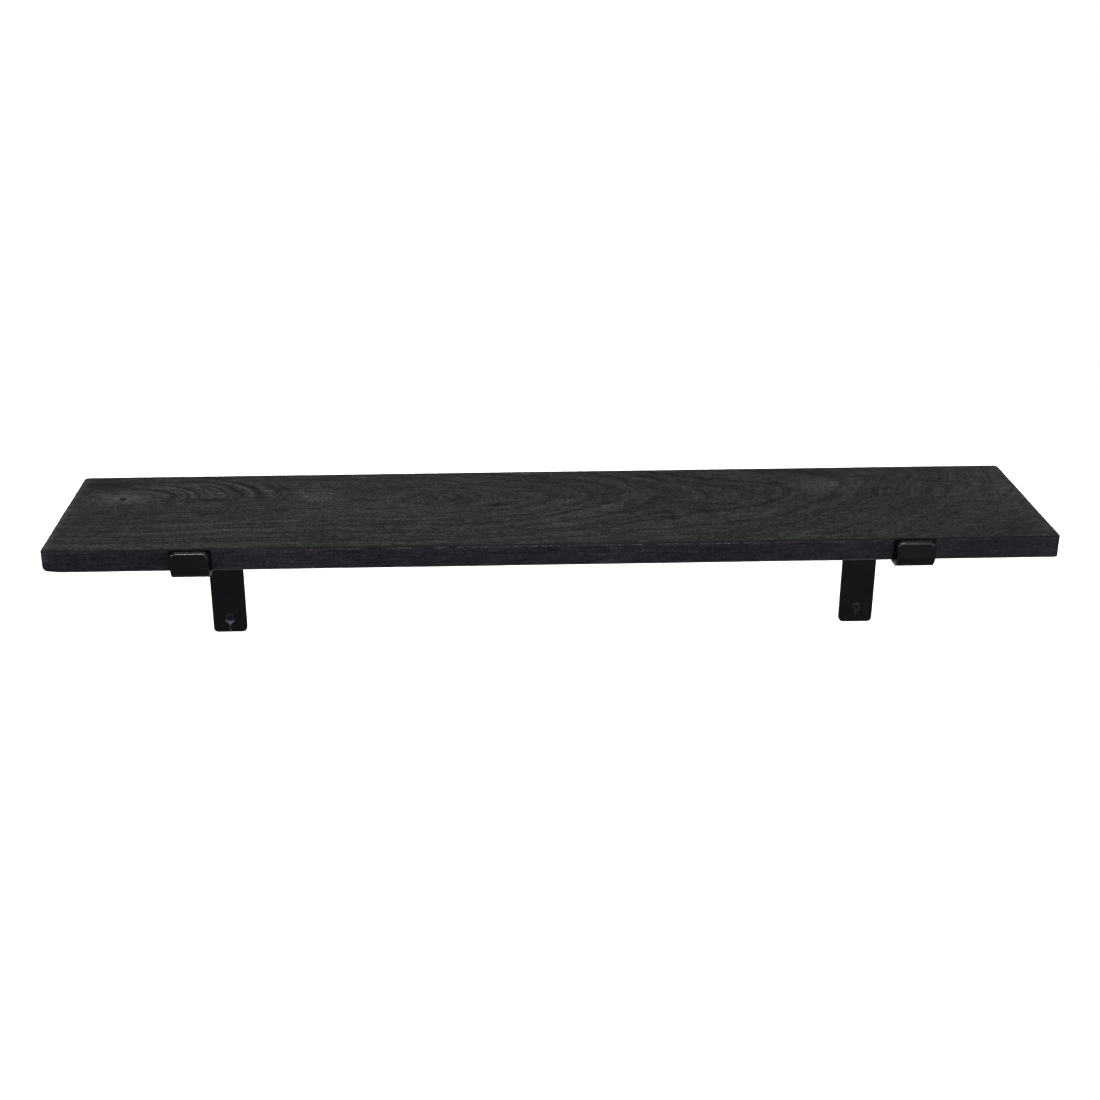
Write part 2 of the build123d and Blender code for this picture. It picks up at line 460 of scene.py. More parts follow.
def recess_cutter(head_radius):
    """The cross recess, as a solid: four wings whose ends slope in towards the bottom."""
    depth = RECESS_DEPTH_SHARE * head_radius
    half_slot = RECESS_SLOT_SHARE * head_radius
    reach_at_top = RECESS_SPAN_SHARE * head_radius
    above = 0.2 * MM
    slope = tan(radians(RECESS_SLOPE))
    points = []
    for z in (above, -depth):
        reach = reach_at_top + z * slope
        for quarter in range(4):
            turn = Matrix.Rotation(quarter * pi / 2, 4, "Z")
            wing = ((half_slot, half_slot), (half_slot, reach), (-half_slot, reach))
            points += [turn @ Vector((x, y, z)) for x, y in wing]
    around = range(12)
    faces = [list(around), [12 + i for i in reversed(around)]]
    faces += [(i, 12 + i, 12 + (i + 1) % 12, (i + 1) % 12) for i in around]
    return mesh_object("recess_cutter", points, faces)


def thread_points(kind, thread_start, length):
    """The rings of points of a screw's thread and its point, going down, and how many rings there are."""
    neck = NECK_RADIUS[kind]
    thread = THREAD_RADIUS[kind]
    pitch = THREAD_PITCH[kind]
    steps = round((length - thread_start) / pitch * RINGS_PER_TURN)
    downs = np.linspace(thread_start, length, steps + 1)[1:-1]
    point_length = POINT_SHARE * thread
    points = []
    for down in downs:
        taper = min(1.0, (length - down) / point_length) ** POINT_POWER
        started = min(1.0, (down - thread_start) / pitch)
        for angle in SCREW_ANGLES:
            phase = (down / pitch + angle / (2 * pi)) % 1 - 0.5
            ridge = max(0.0, 1 - abs(phase) / RIDGE_SHARE) * started
            radius = (neck + (thread - neck) * ridge) * taper
            points.append((radius * cos(angle), radius * sin(angle), -down))
    return points, len(downs)


def screw_piece(side, kind, which, number):
    """A countersunk screw with a cross recess and a rolled thread."""
    place, head_radius, length = screw_frame(side, kind, which)
    neck = NECK_RADIUS[kind]
    thread_start = BAR_THICKNESS - HEAD_BELOW_FLUSH + NECK_PAST_BAR
    rings = [
        (head_radius * 0.5, 0.0),
        (head_radius - HEAD_EDGE_BREAK, 0.0),
        (head_radius - HEAD_EDGE_BREAK * 0.3, HEAD_EDGE_BREAK * 0.3),
        (head_radius, HEAD_EDGE_BREAK),
        (head_radius, HEAD_RIM),
        (neck, HEAD_RIM + head_radius - neck),
        (neck, thread_start),
    ]
    points = [(0, 0, 0)]
    for radius, down in rings:
        points += [(radius * cos(a), radius * sin(a), -down) for a in SCREW_ANGLES]
    threaded, thread_rings = thread_points(kind, thread_start, length)
    points += threaded
    points.append((0, 0, -length))
    faces = turned_faces(len(rings) + thread_rings, SCREW_SIDES)
    piece = mesh_object(f"{side}_{which}_{kind}_screw_body", points, faces)
    cut(piece, [recess_cutter(head_radius)])
    piece.data.transform(place @ Matrix.Rotation(radians(RECESS_TURN) * number, 4, "Z"))
    smooth(piece)
    return piece


# ---------------- materials


MM_PER_METRE = 1000.0


class Shader:
    """A material, and short ways of adding nodes to it."""

    def __init__(self, name):
        self.material = bpy.data.materials.new(name)
        self.material.use_nodes = True
        self.tree = self.material.node_tree
        self.surface = self.tree.nodes["Principled BSDF"]
        self.place = self.node("TexCoord", {}, "Object")

    def feed(self, socket, value):
        """Links a value that is an output, and sets any other."""
        if isinstance(value, bpy.types.NodeSocket):
            self.tree.links.new(value, socket)
        else:
            socket.default_value = value

    def node(self, kind, inputs, output=0, **settings):
        """Adds a node and returns one of its outputs."""
        made = self.tree.nodes.new(f"ShaderNode{kind}")
        for name, value in settings.items():
            setattr(made, name, value)
        for name, value in inputs.items():
            self.feed(made.inputs[name], value)
        return made.outputs[output]

    def split(self):
        """X, Y and Z of a point's place, in metres."""
        made = self.node("SeparateXYZ", {"Vector": self.place}).node
        return made.outputs["X"], made.outputs["Y"], made.outputs["Z"]

    def join(self, x, y, z):
        return self.node("CombineXYZ", {"X": x, "Y": y, "Z": z})

    def math(self, operation, *values):
        return self.node("Math", dict(enumerate(values)), operation=operation)

    def line(self, value, slope, start):
        """slope times the value, plus start."""
        return self.math("MULTIPLY_ADD", value, slope, start)

    def sum(self, first, *others):
        for other in others:
            first = self.math("ADD", first, other)
        return first

    def product(self, first, *others):
        for other in others:
            first = self.math("MULTIPLY", first, other)
        return first

    def scaled(self, vector, factors):
        return self.node("VectorMath", {0: vector, 1: factors}, operation="MULTIPLY")

    def mm_past(self, coordinate, start):
        """How far a coordinate is past the start, in mm."""
        return self.line(coordinate, MM_PER_METRE, -MM_PER_METRE * start)

    def mm_before(self, coordinate, end):
        """How far a coordinate is before the end, in mm."""
        return self.line(coordinate, -MM_PER_METRE, MM_PER_METRE * end)

    def away(self, value, middle):
        """How far a value is from the middle, to either side."""
        return self.math("ABSOLUTE", self.line(value, 1.0, -middle))

    def distance(self, u, v):
        """How far the point (u, v) is from (0, 0)."""
        return self.math("SQRT", self.sum(self.product(u, u), self.product(v, v)))

    def patch(self, u, v, middle, reach):
        """A soft spot, 1 in its middle and 0 from its reach outwards."""
        u = self.line(u, 1 / reach[0], -middle[0] / reach[0])
        v = self.line(v, 1 / reach[1], -middle[1] / reach[1])
        return self.step(self.distance(u, v), 0.0, 1.0, 1.0, 0.0)

    def noise(self, vector, size, detail=3.0, roughness=0.55):
        """Noise from about 0 to 1, with waves about this long."""
        inputs = {"Vector": vector, "Scale": 1 / size, "Detail": detail, "Roughness": roughness}
        return self.node("TexNoise", inputs)

    def noise_along(self, value, size, detail):
        """Noise of one number."""
        inputs = {"W": value, "Scale": 1 / size, "Detail": detail, "Roughness": 0.6}
        return self.node("TexNoise", inputs, noise_dimensions="1D")

    def about_zero(self, noise, span):
        """Noise from 0 to 1, made to run over this span about zero."""
        return self.line(noise, span, -span / 2)

    def step(self, value, low, high, bottom=0.0, top=1.0):
        """Goes smoothly from bottom to top as the value goes from low to high."""
        inputs = {"Value": value, "From Min": low, "From Max": high, "To Min": bottom, "To Max": top}
        return self.node("MapRange", inputs, interpolation_type="SMOOTHSTEP")

    def ramp(self, value, stops):
        """Colours at places from 0 to 1."""
        made = self.node("ValToRGB", {"Fac": value}).node
        while len(made.color_ramp.elements) < len(stops):
            made.color_ramp.elements.new(1.0)
        for element, (place, colour) in zip(made.color_ramp.elements, stops):
            element.position = place
            element.color = (*colour, 1.0)
        return made.outputs["Color"]

    def mix(self, share, first, second):
        """Two colours, by share of the second. The Mix node's colour sockets are 6, 7 and 2."""
        return self.node("Mix", {0: share, 6: first, 7: second}, 2, data_type="RGBA")

    def finish(self, colour, roughness, height, relief, specular):
        """Sets the surface. Relief is the bump's full height, in metres."""
        bump = self.node("Bump", {"Height": height, "Distance": relief, "Strength": 1.0})
        self.feed(self.surface.inputs["Base Color"], colour)
        self.feed(self.surface.inputs["Roughness"], roughness)
        self.feed(self.surface.inputs["Normal"], bump)
        self.surface.inputs["Specular IOR Level"].default_value = specular
        return self.material


def grey(level, red=1.0, blue=1.0):
    return (level * red, level, level * blue)


# ---------------- the stained wood

# Places on the board are in mm: along it from its left end, in from its back or its front, down from its top.
# A step has four numbers: where it begins and ends, and the values there.

FRONT_FACE = (0.2, 1.2)  # the front face gives way to the top this far behind the board's front

# The grain wanders in long waves and short ones. A noise with a low pace is drawn out along the board.
LONG_WAVES = {"size": 70 * MM, "pace": 0.55, "detail": 1.0}
LONG_SPAN = 26.0
LONG_SPAN_ALONG = 1.6  # times as much along the board as across it
SHORT_WAVES = {"size": 13 * MM, "pace": 0.7, "detail": 2.0}
SHORT_SPAN = 8.0
SHORT_SPAN_ALONG = 1.5
SHORT_WAVES_TO_THE_RIGHT = (560.0, 700.0, 1.0, 0.5)

# The pith runs above the board, away from it towards the right, where it drifts to the back
PITH_FROM_BACK = 62.0
PITH_DRIFT = (570.0, 780.0, 0.0, PITH_FROM_BACK)
PITH_SPAN = 800.0  # the curve of its heights is this long
PITH_CEILING = 200.0  # and at most this high
PITH_HEIGHTS = [  # how far along the board, and how high above its top
    (0, 4),
    (210, 9),
    (267, 14),
    (351, 33),
    (432, 56),
    (498, 80),
    (610, 96),
    (700, 126),
    (800, 175),
]

# The growth rings around the pith, and around the knot
BROAD_RINGS = {"size": 8.0, "detail": 2.0}
BROAD_SHARE = 0.65
FINE_RINGS = {"size": 2.4, "detail": 1.0}
FINE_SHARE = 0.35
KNOT_RINGS = {"size": 4.0, "detail": 2.0}
KNOT_PACE = 0.5  # the knot's rings are drawn out along the board
KNOT_GRAIN = ((100, 38), (130, 38))  # the middle and reach of what the knot bends
KNOT_HOLE_REACH = (3.1, 3.3)
RINGS_BEHIND_FRONT = (0.3, 1.5, 0.35, 1.0)
RINGS_TO_THE_RIGHT = (600.0, 680.0, 1.0, 0.5)

# What the rings do to the tone, which is 0 where the stain is black and 1 where it is thinnest
MIDDLE_TONE = 0.5
RING_TONE = (0.26, -0.12)
DARK_RINGS = (0.52, 0.62, 0.0, -0.07)
RING_LINES_BY_CLOUD = (2.0, 0.1)
KNOT_RING_SPAN = 1.6
STREAKS = {"size": 1.8, "pace": 0.035, "detail": 2.0, "roughness": 0.6}
STREAK_TONE = (0.34, 0.43, -0.14, 0.0)
STREAKS_FROM_PITH = (12.0, 25.0)

# The stronger growth rings on the top: radius and half width, and how much lighter or darker
RINGS = [
    (26, 1.6, -0.11),
    (47, 1.8, -0.12),
    (53, 2.5, 0.05),
    (58, 2.0, -0.10),
    (67, 2.6, -0.15),
    (73, 3.0, 0.05),
    (80, 2.2, -0.11),
    (85, 2.4, 0.04),
    (90, 2.0, -0.13),
    (95.5, 2.2, -0.17),
    (101, 2.5, 0.04),
    (108, 1.8, -0.14),
    (114, 1.8, 0.08),
    (120, 1.8, -0.13),
    (128, 2.0, -0.12),
    (135, 2.2, 0.10),
    (142, 2.0, -0.13),
    (151, 2.6, -0.13),
    (159, 2.6, 0.10),
    (167, 2.4, -0.13),
    (179, 2.8, -0.13),
]

# The fibres run along the board, and finer ones along the rings; grit lies between them, under wide clouds
FIBRES = {"size": 2.0 * MM, "pace": 0.07, "detail": 3.0, "roughness": 0.7}
FIBRE_TONE = (0.65, -0.31)
FRONT_FIBRES = (580.0, 700.0, 1.3, 0.7)
PORES = (0.33, 0.45)
RING_FIBRES = {"size": 2.4, "pace": 0.22, "detail": 3.0, "roughness": 0.75}
RING_FIBRE_SPAN = 0.85
RING_FIBRES_TO_THE_RIGHT = (560.0, 680.0, 1.0, 0.8)
GRIT = {"size": 1.4 * MM, "detail": 2.0, "roughness": 1.0}
GRIT_SPAN = 1.9
FRONT_GRIT = 0.55
CLOUDS = {"size": 55 * MM, "pace": 0.6, "detail": 2.0}
CLOUD_SPAN = 0.3

# Lighter and darker parts of the board
TONES_ALONG = [(0.0, 8.0, 0.25, 0.0), (765.0, 800.0, 0.0, 0.10), (798.2, 799.2, 0.0, 0.5)]
TONE_AT_BACK = (0.5, 2.0, 0.5, 0.0)
# Painted shade: the knot hole is made black.
KNOT_HOLE_PAINTED_SHADE = -12.0
WOOD_PATCHES = [  # middle, reach, and how much lighter or darker
    ((43, 50), (42, 28), 0.25),
    ((24, 20), (34, 22), -0.2),
    ((126, 62), (60, 9), -0.1),
    ((202, 54), (30, 28), 0.2),
    ((357, 81), (12, 5), -0.45),
    ((640, 45), (60, 30), 0.15),
    ((780, 60), (60, 110), 0.08),
    ((60, 186), (130, 24), -0.3),
]

WOOD_TONES = [
    (0.0, grey(0.002)),
    (0.3, grey(0.009)),
    (0.5, grey(0.018)),
    (0.7, grey(0.032)),
    (1.0, grey(0.075, 1.02)),
]
HUES = {"size": 2.3 * MM, "detail": 2.0, "roughness": 0.9}
COOL_FIBRES = (0.82, 1.02, 1.10, 1.0)  # some fibres take the stain a little cooler
WARM_FIBRES = (1.18, 0.98, 0.92, 1.0)
FRONT_FACE_PAINTED_LIGHT = (1.32, 1.26, 1.44)  # painted light: the front face is lighter and bluer, as the bluish front light falls on it

# The back arris is paler, and painted light brightens the lower front arris, which the lamps leave dark
PALER_BACK_ARRIS = (0.4, 1.2, 0.7, 0.0)
LOWER_ARRIS_PAINTED_LIGHT = [(16.7, 17.3, 0.0, 0.8), (17.85, 17.98, 1.0, 0.0)]
PALE_ARRIS_AND_PAINTED_LIGHT = (0.15, 0.145, 0.14, 1.0)

# A thin dark line along the upper front arris: painted shade, which also hides the arris's highlight
ARRIS_SHADE_BEHIND_FRONT = (1.2, 2.2, 1.0, 0.0)
ARRIS_SHADE_BELOW_TOP = (0.5, 1.0, 1.0, 0.0)
ARRIS_SHADE_STRENGTH = 0.85
ARRIS_SHADE_COLOUR = (0.003, 0.003, 0.004, 1.0)

# Under that arris the stain is rubbed thin, with bare specks, most of them in the middle of the board
RUB_BEHIND_FRONT = (0.5, 1.2, 1.0, 0.0)
RUB_BELOW_TOP = [(0.8, 1.1, 0.0, 1.0), (1.7, 2.5, 1.0, 0.0)]
RUB_ALONG = [(120.0, 300.0, 0.25, 1.0), (560.0, 720.0, 1.0, 0.15)]
RUB_PATCHES = {"size": 18.0, "detail": 3.0}
RUB_PATCH = (0.35, 0.6)
SPECK_PACE = (0.5, 0.6)  # along the board, and down it
SPECKS = {"size": 0.75, "detail": 2.0, "roughness": 0.9}
SPECK = (0.58, 0.68)
RUBBED_STAIN = (0.052, 0.047, 0.054, 1.0)
BARE_WOOD = (0.62, 0.50, 0.49, 1.0)

# Painted shadow of the lips on the front of the board, beside and behind them
LIP_SHADOW_REACH = (0.8 * MM, 2.8 * MM)  # how far it reaches past a lip's side
LIP_SHADOW_STRENGTH = 0.92
LIP_SHADOW_COLOUR = (0.0015, 0.0015, 0.0025, 1.0)

# The surface: how far each part of the grain stands out, as a share of the relief, and how rough it is
PORE_RELIEF = 0.6
RING_RELIEF = 0.5
GRIT_RELIEF = 0.6
WOOD_RELIEF = 0.16 * MM
GRIT_ROUGHNESS = (0.2, 0.4)
PORE_ROUGHNESS = -0.08
LINE_ROUGHNESS = 0.35
KNOT_HOLE_ROUGHNESS = 0.5
WOOD_SPECULAR = 0.15


class Wood(Shader):
    """The board's wood: where a point is on the board, and the noises that its grain is made of."""

    def __init__(self, name):
        super().__init__(name)
        low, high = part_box("shelf_board")
        self.x, y, z = self.split()
        self.along = self.mm_past(self.x, low.x)
        self.from_back = self.mm_before(y, high.y)
        self.behind_front = self.mm_past(y, low.y)
        self.depth = self.mm_before(z, high.z)
        self.on_front = self.step(self.behind_front, *FRONT_FACE, 1.0, 0.0)

        self.clouds = self.grain(**CLOUDS)
        self.fibres = self.grain(**FIBRES)
        self.grit = self.noise(self.place, **GRIT)
        self.pores = self.step(self.fibres, *PORES)
        self.wander()
        self.add_rings()
        # Where the painted shade line along the upper front arris lies
        self.arris_shade_line = self.product(
            self.step(self.behind_front, *ARRIS_SHADE_BEHIND_FRONT),
            self.step(self.depth, *ARRIS_SHADE_BELOW_TOP),
        )

    def grain(self, size, pace, detail, roughness=0.55):
        """Noise that is drawn out along the board."""
        return self.noise(self.scaled(self.place, (pace, 1.0, 1.0)), size, detail, roughness)

    def along_rings(self, size, pace, detail, roughness):
        """Noise that is drawn out along the growth rings."""
        flow = self.join(self.product(self.grain_along, pace), self.radius, 0.0)
        return self.noise(flow, size, detail, roughness)

    def wander(self):
        """Where the grain is once it has wandered: along the board, across it, and from the pith."""
        long_waves = self.about_zero(self.grain(**LONG_WAVES), LONG_SPAN)
        short_waves = self.about_zero(self.grain(**SHORT_WAVES), SHORT_SPAN)
        short_waves = self.product(short_waves, self.step(self.along, *SHORT_WAVES_TO_THE_RIGHT))
        self.grain_along = self.sum(
            self.along,
            self.product(long_waves, LONG_SPAN_ALONG),
            self.product(short_waves, SHORT_SPAN_ALONG),
        )
        self.grain_from_back = self.sum(self.from_back, long_waves, short_waves)
        self.radius = pith_distance(self, self.grain_along, self.grain_from_back)

    def add_rings(self):
        """The rings around the pith, which give way to the knot's own rings near the knot."""
        knot = (KNOT_ALONG / MM, KNOT_FROM_BACK / MM)
        knot_u = self.line(self.grain_along, KNOT_PACE, -KNOT_PACE * knot[0])
        knot_v = self.line(self.grain_from_back, 1.0, -knot[1])
        self.knot_rings = self.noise_along(self.distance(knot_u, knot_v), **KNOT_RINGS)
        self.near_knot = self.patch(self.along, self.from_back, *KNOT_GRAIN)
        self.in_knot_hole = self.patch(self.along, self.from_back, knot, KNOT_HOLE_REACH)

        broad = self.product(self.noise_along(self.radius, **BROAD_RINGS), BROAD_SHARE)
        fine = self.product(self.noise_along(self.radius, **FINE_RINGS), FINE_SHARE)
        rings = self.sum(broad, fine)
        to_knot = self.math("SUBTRACT", self.knot_rings, rings)
        self.rings = self.sum(rings, self.product(to_knot, self.near_knot))
        self.inside = self.step(self.behind_front, *RINGS_BEHIND_FRONT)


def pith_distance(shader, along, from_back):
    """How far a point of the board is from the pith. This makes the long arches on the top."""
    curve = shader.node("FloatCurve", {"Value": shader.line(along, 1 / PITH_SPAN, 0.0)}).node
    points = curve.mapping.curves[0].points
    while len(points) < len(PITH_HEIGHTS):
        points.new(0.5, 0.5)
    for point, (place, height) in zip(points, PITH_HEIGHTS):
        point.location = (place / PITH_SPAN, height / PITH_CEILING)
    curve.mapping.update()
    height = shader.sum(shader.line(curve.outputs[0], PITH_CEILING, 0.0), shader.depth)
    sideways = shader.sum(from_back, shader.step(along, *PITH_DRIFT), -PITH_FROM_BACK)
    return shader.distance(height, sideways)


def ring_tone(wood):
    """What the growth rings and the streaks along them do to the tone."""
    lines = 0.0
    for middle, half_width, strength in RINGS:
        away = wood.away(wood.radius, middle)
        lines = wood.sum(wood.step(away, 0.0, half_width, strength, 0.0), lines)
    streaks = wood.step(wood.along_rings(**STREAKS), *STREAK_TONE)
    tone = wood.sum(
        wood.line(wood.rings, *RING_TONE),
        wood.step(wood.rings, *DARK_RINGS),
        wood.product(lines, wood.line(wood.clouds, *RING_LINES_BY_CLOUD)),
        wood.product(wood.about_zero(wood.knot_rings, KNOT_RING_SPAN), wood.near_knot),
        wood.product(streaks, wood.step(wood.radius, *STREAKS_FROM_PITH)),
    )
    return wood.product(tone, wood.inside, wood.step(wood.along, *RINGS_TO_THE_RIGHT))


def fibre_tone(wood):
    """What the fibres, the grit and the clouds do to the tone."""
    at_front = wood.step(wood.along, *FRONT_FIBRES)
    fibres = wood.product(
        wood.line(wood.fibres, *FIBRE_TONE),
        wood.step(wood.behind_front, *FRONT_FACE, at_front, 1.0),
    )
    ring_fibres = wood.product(
        wood.about_zero(wood.along_rings(**RING_FIBRES), RING_FIBRE_SPAN),
        wood.inside,
        wood.step(wood.along, *RING_FIBRES_TO_THE_RIGHT),
    )
    grit = wood.product(
        wood.about_zero(wood.grit, GRIT_SPAN),
        wood.step(wood.behind_front, *FRONT_FACE, FRONT_GRIT, 1.0),
    )
    return wood.sum(fibres, ring_fibres, grit, wood.about_zero(wood.clouds, CLOUD_SPAN))


def place_tone(wood):
    """The lighter and darker parts of the board, and the painted shade that blackens the knot hole."""
    tone = wood.sum(
        wood.step(wood.from_back, *TONE_AT_BACK),
        wood.product(wood.in_knot_hole, KNOT_HOLE_PAINTED_SHADE),
    )
    for stretch in TONES_ALONG:
        tone = wood.sum(tone, wood.step(wood.along, *stretch))
    for middle, reach, strength in WOOD_PATCHES:
        spot = wood.patch(wood.along, wood.from_back, middle, reach)
        tone = wood.sum(tone, wood.product(spot, strength))
    return tone


def pale_arrises_and_painted_light(wood):
    """1 where the back arris is paler, and where painted light brightens the lower front arris."""
    lower = wood.product(*[wood.step(wood.depth, *step) for step in LOWER_ARRIS_PAINTED_LIGHT])
    return wood.math("MAXIMUM", wood.step(wood.from_back, *PALER_BACK_ARRIS), lower)


def front_wear(wood):
    """Where the stain is rubbed thin under the front arris, and the bare specks there."""
    rubbed = wood.product(
        wood.step(wood.behind_front, *RUB_BEHIND_FRONT),
        *[wood.step(wood.depth, *step) for step in RUB_BELOW_TOP],
        wood.step(wood.noise_along(wood.along, **RUB_PATCHES), *RUB_PATCH),
        *[wood.step(wood.along, *step) for step in RUB_ALONG],
    )
    speck_along = wood.product(wood.along, SPECK_PACE[0])
    speck_down = wood.product(wood.depth, SPECK_PACE[1])
    specks = wood.noise(wood.join(speck_along, speck_down, 0.0), **SPECKS)
    return rubbed, wood.product(rubbed, wood.step(specks, *SPECK))


def painted_lip_shadow(wood):
    """1 on the front face behind the two lips, where their painted shadow lies."""
    shadow = 0.0
    for side in SIDES:
        low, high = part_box(f"{side}_bracket")
        half = (high.x - low.x) / 2
        away = wood.away(wood.x, (low.x + high.x) / 2)
        beside = wood.step(away, half + LIP_SHADOW_REACH[0], half + LIP_SHADOW_REACH[1], 1.0, 0.0)
        shadow = wood.sum(beside, shadow)
    return wood.product(wood.on_front, shadow)


def with_wear(wood, colour):
    """The stain's colour with painted light on the front face and the lower front arris, the paler back
    arris, painted shade along the upper front arris, the wear under it, and the painted shadow of the lips.
    """
    # Painted light: the front face is made lighter and bluer.
    colour = wood.mix(wood.on_front, colour, wood.scaled(colour, FRONT_FACE_PAINTED_LIGHT))
    # Paler back arris, and painted light along the lower front arris.
    colour = wood.mix(pale_arrises_and_painted_light(wood), colour, PALE_ARRIS_AND_PAINTED_LIGHT)
    # Painted shade: a thin dark line along the upper front arris.
    colour = wood.mix(wood.product(wood.arris_shade_line, ARRIS_SHADE_STRENGTH), colour, ARRIS_SHADE_COLOUR)
    rubbed, specks = front_wear(wood)
    colour = wood.mix(rubbed, colour, RUBBED_STAIN)
    colour = wood.mix(specks, colour, BARE_WOOD)
    # Painted shadow of the lips on the front face.
    return wood.mix(wood.product(painted_lip_shadow(wood), LIP_SHADOW_STRENGTH), colour, LIP_SHADOW_COLOUR)


def stained_wood():
    """Open-grained hardwood under a thin black stain, worn through along the front arris."""
    wood = Wood("black_stained_wood")
    tone = wood.sum(ring_tone(wood), fibre_tone(wood), place_tone(wood), MIDDLE_TONE)
    hue = wood.mix(wood.noise(wood.place, **HUES), COOL_FIBRES, WARM_FIBRES)
    colour = with_wear(wood, wood.scaled(wood.ramp(tone, WOOD_TONES), hue))
    height = wood.sum(
        wood.product(wood.pores, PORE_RELIEF),
        wood.product(wood.rings, RING_RELIEF),
        wood.product(wood.grit, GRIT_RELIEF),
    )
    roughness = wood.sum(
        wood.line(wood.grit, *GRIT_ROUGHNESS),
        wood.product(wood.pores, PORE_ROUGHNESS),
        wood.product(wood.arris_shade_line, LINE_ROUGHNESS),
        wood.product(wood.in_knot_hole, KNOT_HOLE_ROUGHNESS),
    )
    return wood.finish(colour, roughness, height, WOOD_RELIEF, WOOD_SPECULAR)


# ---------------- the coatings

# Each coating's name, how pale it is, specular level, roughness, and the size and height of its orange peel
BAR_COATING = ("black_powder_coating", 0.008, 0.72, 0.22, 1.6 * MM, 0.03 * MM)
SCREW_COATINGS = {
    "wall": ("black_screw_lacquer", 0.034, 0.5, 0.36, 0.8 * MM, 0.01 * MM),
    "board": ("black_screw_phosphate", 0.015, 0.4, 0.45, 0.6 * MM, 0.01 * MM),
}

# The coatings are mottled, dusty, and paler towards the wall
MOTTLE = {"size": 22 * MM, "detail": 3.0}
MOTTLE_TONE = (0.6, 0.1)
MOTTLE_ROUGHNESS_SPAN = 0.12
DUST_SPECKS = {"size": 0.9 * MM, "detail": 2.0}
DUST_SPECK = (0.62, 0.75)
DUST_TONE = 0.25
DUST_ROUGHNESS = 0.12
PALER_TOWARDS_THE_WALL = (-150 * MM, -20 * MM, 0.0, 0.3)

# Painted highlights under the lower wall screws, where the countersink's lower wall, the run of coating and
# the leg's end catch the light: sideways and up from the screw, reach in mm, and strength
SCREW_HIGHLIGHTS = {
    "left": [
        ((-3.0, -3.9), (1.5, 1.6), 0.8),
        ((0.0, -5.4), (3.6, 1.5), 0.9),
        ((3.0, -3.9), (1.5, 1.6), 0.8),
        ((0.0, -6.8), (1.4, 2.0), 0.9),
        ((0.2, -11.0), (1.1, 7.0), 0.16),
        ((0.4, -13.3), (1.0, 1.7), 0.35),
    ],
    "right": [
        ((0.8, -4.4), (3.4, 1.1), 0.32),
        ((3.3, -3.0), (1.5, 1.8), 0.32),
        ((-0.3, -7.0), (1.1, 3.4), 0.09),
    ],
}
LEG_FRONT = (-3.2 * MM, -2.2 * MM, 1.0, 0.0)
SCREW_HIGHLIGHT_GREY = (0.60, 0.60, 0.65, 1.0)

# Painted highlights: a pale grey line along the back arris of the lips' ends, and a painted reflection along
# the sides of the front bends.
# Apart from BEND_SIDE, these steps count in mm.
LIP_BACK = [(3.7, 4.1, 0.0, 1.0), (5.2, 5.6, 1.0, 0.0)]
LIP_END = (2.5, 6.0, 0.9, 0.0)
BEND_SIDE = (-0.5 * MM, -0.1 * MM)
BEND_BELOW_TOP = (18.0, 19.5, 0.0, 1.0)
BEND_BEHIND_FRONT = (14.0, 24.0, 1.0, 0.0)
LIP_AND_BEND_HIGHLIGHT_STRENGTH = 0.8
LIP_AND_BEND_HIGHLIGHT_COLOUR = (0.42, 0.36, 0.32, 1.0)


def coating(name, level, specular, roughness, peel, peel_height, worn=False):
    """Black powder coating or lacquer: orange peel, a little dust, uneven gloss and, on the bars, painted
    highlights.
    """
    shader = Shader(name)
    x, y, z = shader.split()
    mottle = shader.noise(shader.place, **MOTTLE)
    dust = shader.step(shader.noise(shader.place, **DUST_SPECKS), *DUST_SPECK)
    tone = shader.sum(
        shader.line(mottle, *MOTTLE_TONE),
        shader.product(dust, DUST_TONE),
        shader.step(y, *PALER_TOWARDS_THE_WALL),
    )
    darkest = grey(level * 0.5)
    middle = grey(level, 1.0, 1.1)
    palest = grey(level * 2.4, 1.02, 1.1)
    colour = shader.ramp(tone, [(0.0, darkest), (0.5, middle), (1.0, palest)])
    # worn: adds the painted highlights under the lower wall screws and on the lips and bends
    if worn:
        colour = with_screw_highlights(shader, colour, x, y, z)
        # Painted highlights on the lips' back arrises and the bends' sides.
        colour = shader.mix(painted_lip_and_bend_highlights(shader, x, y, z), colour, LIP_AND_BEND_HIGHLIGHT_COLOUR)
    gloss = shader.sum(
        shader.about_zero(mottle, MOTTLE_ROUGHNESS_SPAN),
        shader.product(dust, DUST_ROUGHNESS),
        roughness,
    )
    return shader.finish(colour, gloss, shader.noise(shader.place, peel, 2.0), peel_height, specular)


def with_screw_highlights(shader, colour, x, y, z):
    """The coating's colour with painted highlights under the two lower wall screws."""
    across = shader.mm_past(x, 0.0)
    up = shader.mm_past(z, 0.0)
    on_leg_front = shader.step(y, *LEG_FRONT)
    for side, marks in SCREW_HIGHLIGHTS.items():
        low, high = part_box(f"{side}_lower_wall_screw")
        screw_x = (low.x + high.x) / 2 / MM
        screw_z = (low.z + high.z) / 2 / MM
        for (sideways, higher), reach, strength in marks:
            mark = shader.patch(across, up, (screw_x + sideways, screw_z + higher), reach)
            # Painted highlight on the leg's front.
            highlighted = shader.product(mark, on_leg_front, strength)
            colour = shader.mix(highlighted, colour, SCREW_HIGHLIGHT_GREY)
    return colour


